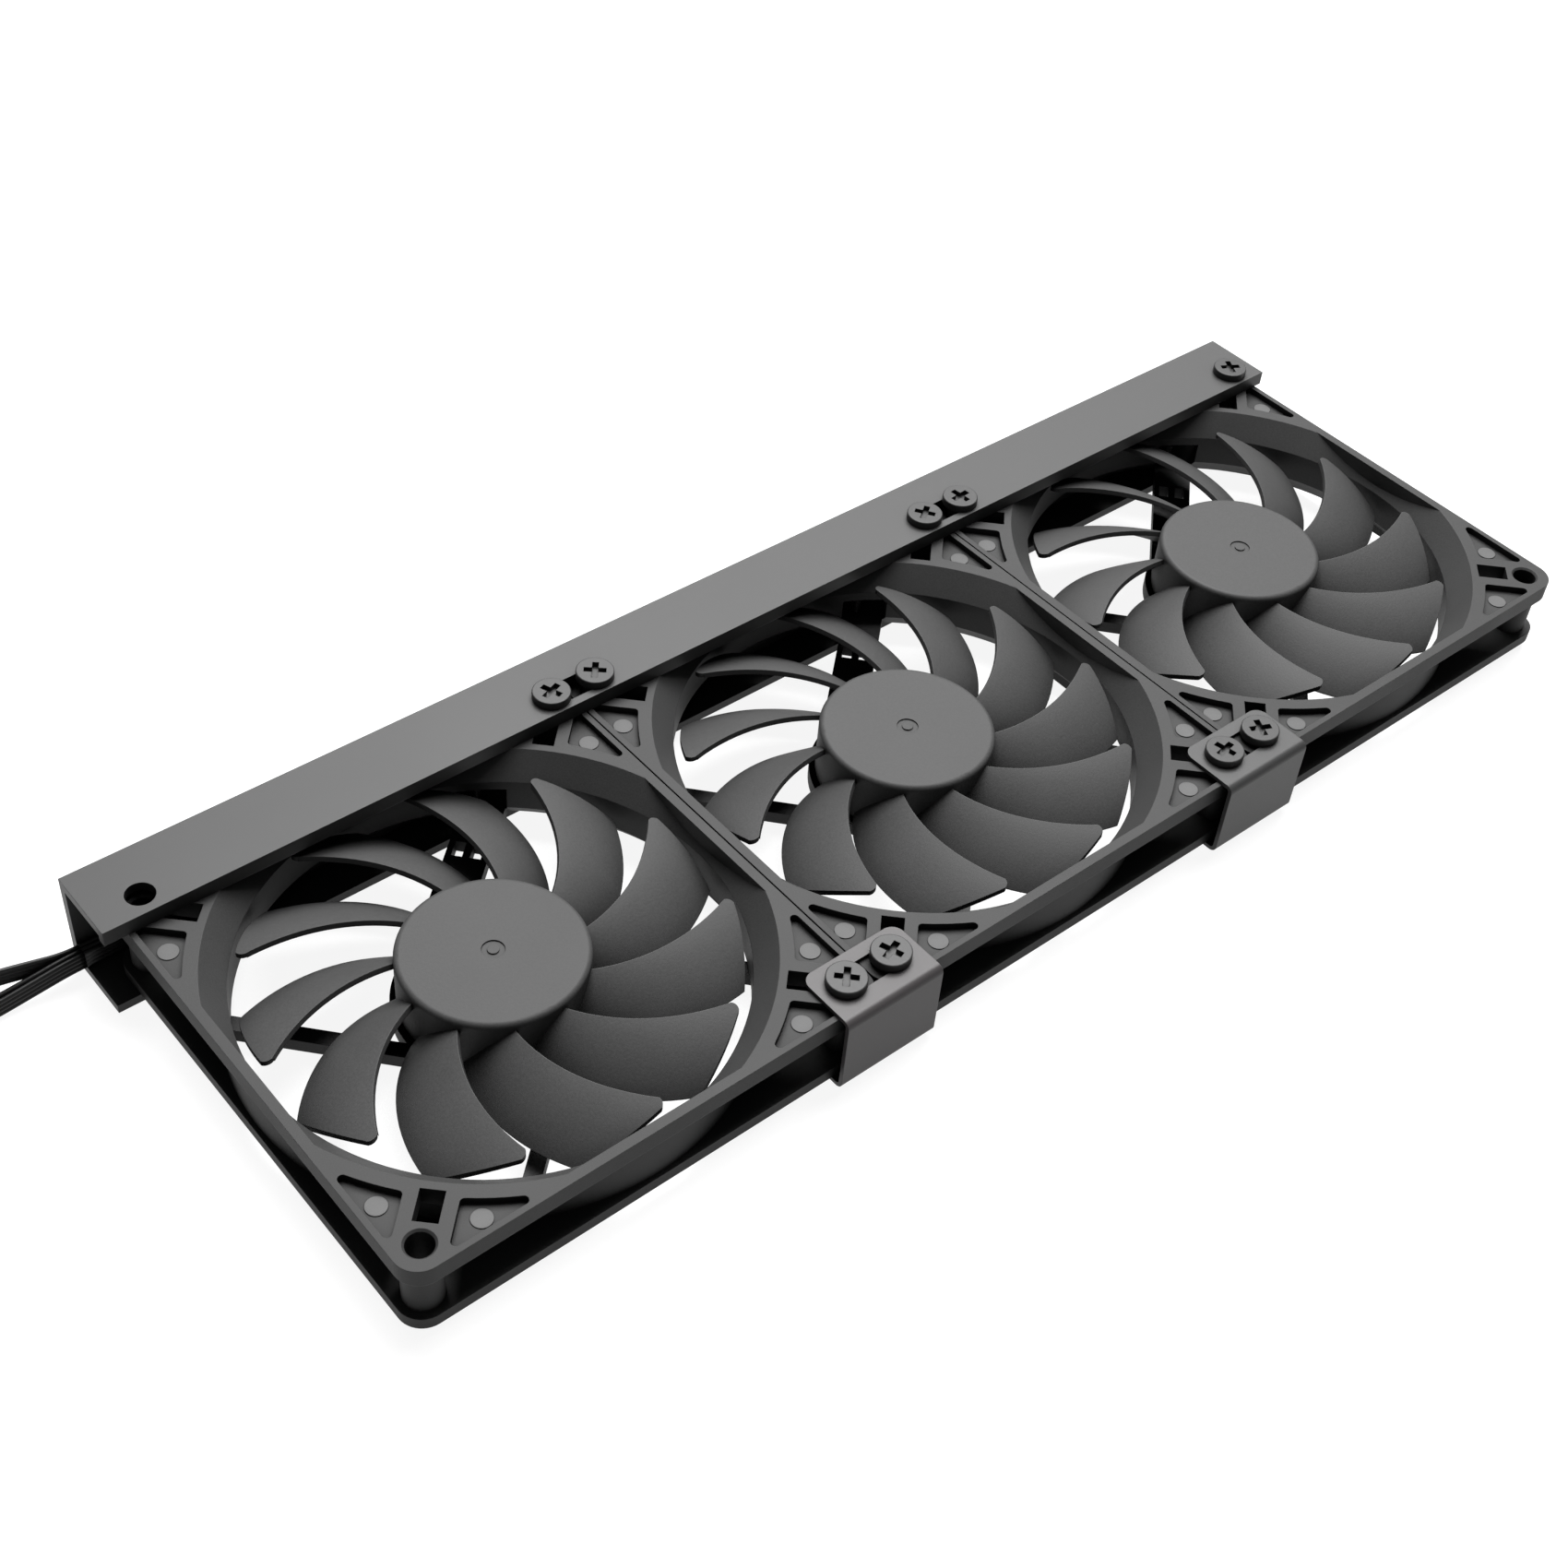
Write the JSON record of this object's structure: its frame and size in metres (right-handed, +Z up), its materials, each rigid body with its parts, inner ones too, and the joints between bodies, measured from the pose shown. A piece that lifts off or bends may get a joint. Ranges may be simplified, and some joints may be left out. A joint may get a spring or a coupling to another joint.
{
  "type": "triple axial fan cooler assembly",
  "caption": "Slim axial fans side by side on a channel rail with joint clips, screws and flat leads that leave one end.",
  "frame": {"origin": "bottom centre of the cooler without its leads", "axes": "+X along the rail away from the end the leads leave, +Y from the clips to the rail, +Z up, out of the intake side of the fans"},
  "size_m": [0.3523, 0.1388, 0.0214],
  "materials": {
    "rail": "satin",
    "clip": "satin",
    "clip_warm": "satin",
    "screw": "satin",
    "fan_frame": "matte",
    "impeller": "satin",
    "yoke_steel": "satin",
    "magnet": "matte",
    "shaft_steel": "polished",
    "retainer": "matte",
    "bearing_bronze": "matte",
    "core_steel": "matte",
    "copper": "gloss",
    "board": "gloss",
    "label": "satin",
    "lead": "satin",
    "plug": "matte"
  },
  "bodies": {
    "root": {"mounting_rail": "rail", "clip_left": "clip_warm", "clip_right": "clip", "rail_screws": "screw", "clip_screws": "screw", "left_frame": "fan_frame", "left_sleeve_bearing": "bearing_bronze", "left_stator_core": "core_steel", "left_windings": "copper", "left_circuit_board": "board", "left_back_label": "label", "left_lead_in_rail": "lead", "left_lead": "lead", "left_lead_coil": "lead", "left_lead_plug": "plug", "middle_frame": "fan_frame", "middle_sleeve_bearing": "bearing_bronze", "middle_stator_core": "core_steel", "middle_windings": "copper", "middle_circuit_board": "board", "middle_back_label": "label", "middle_lead_in_rail": "lead", "middle_lead": "lead", "middle_lead_coil": "lead", "middle_lead_plug": "plug", "right_frame": "fan_frame", "right_sleeve_bearing": "bearing_bronze", "right_stator_core": "core_steel", "right_windings": "copper", "right_circuit_board": "board", "right_back_label": "label", "right_lead_in_rail": "lead", "right_lead": "lead", "right_lead_coil": "lead", "right_lead_plug": "plug"},
    "left_rotor": {"left_impeller": "impeller", "left_rotor_yoke": "yoke_steel", "left_magnet_ring": "magnet", "left_shaft": "shaft_steel", "left_retaining_clip": "retainer"},
    "middle_rotor": {"middle_impeller": "impeller", "middle_rotor_yoke": "yoke_steel", "middle_magnet_ring": "magnet", "middle_shaft": "shaft_steel", "middle_retaining_clip": "retainer"},
    "right_rotor": {"right_impeller": "impeller", "right_rotor_yoke": "yoke_steel", "right_magnet_ring": "magnet", "right_shaft": "shaft_steel", "right_retaining_clip": "retainer"}
  },
  "joints": [
    {"name": "left_spin", "type": "hinge", "parent": "root", "child": "left_rotor", "pos_m": [-0.09105, -0.0018, 0], "axis": [0, 0, 1], "continuous": true},
    {"name": "middle_spin", "type": "hinge", "parent": "root", "child": "middle_rotor", "pos_m": [0.00125, -0.0018, 0], "axis": [0, 0, 1], "continuous": true},
    {"name": "right_spin", "type": "hinge", "parent": "root", "child": "right_rotor", "pos_m": [0.09355, -0.0018, 0], "axis": [0, 0, 1], "continuous": true}
  ]
}
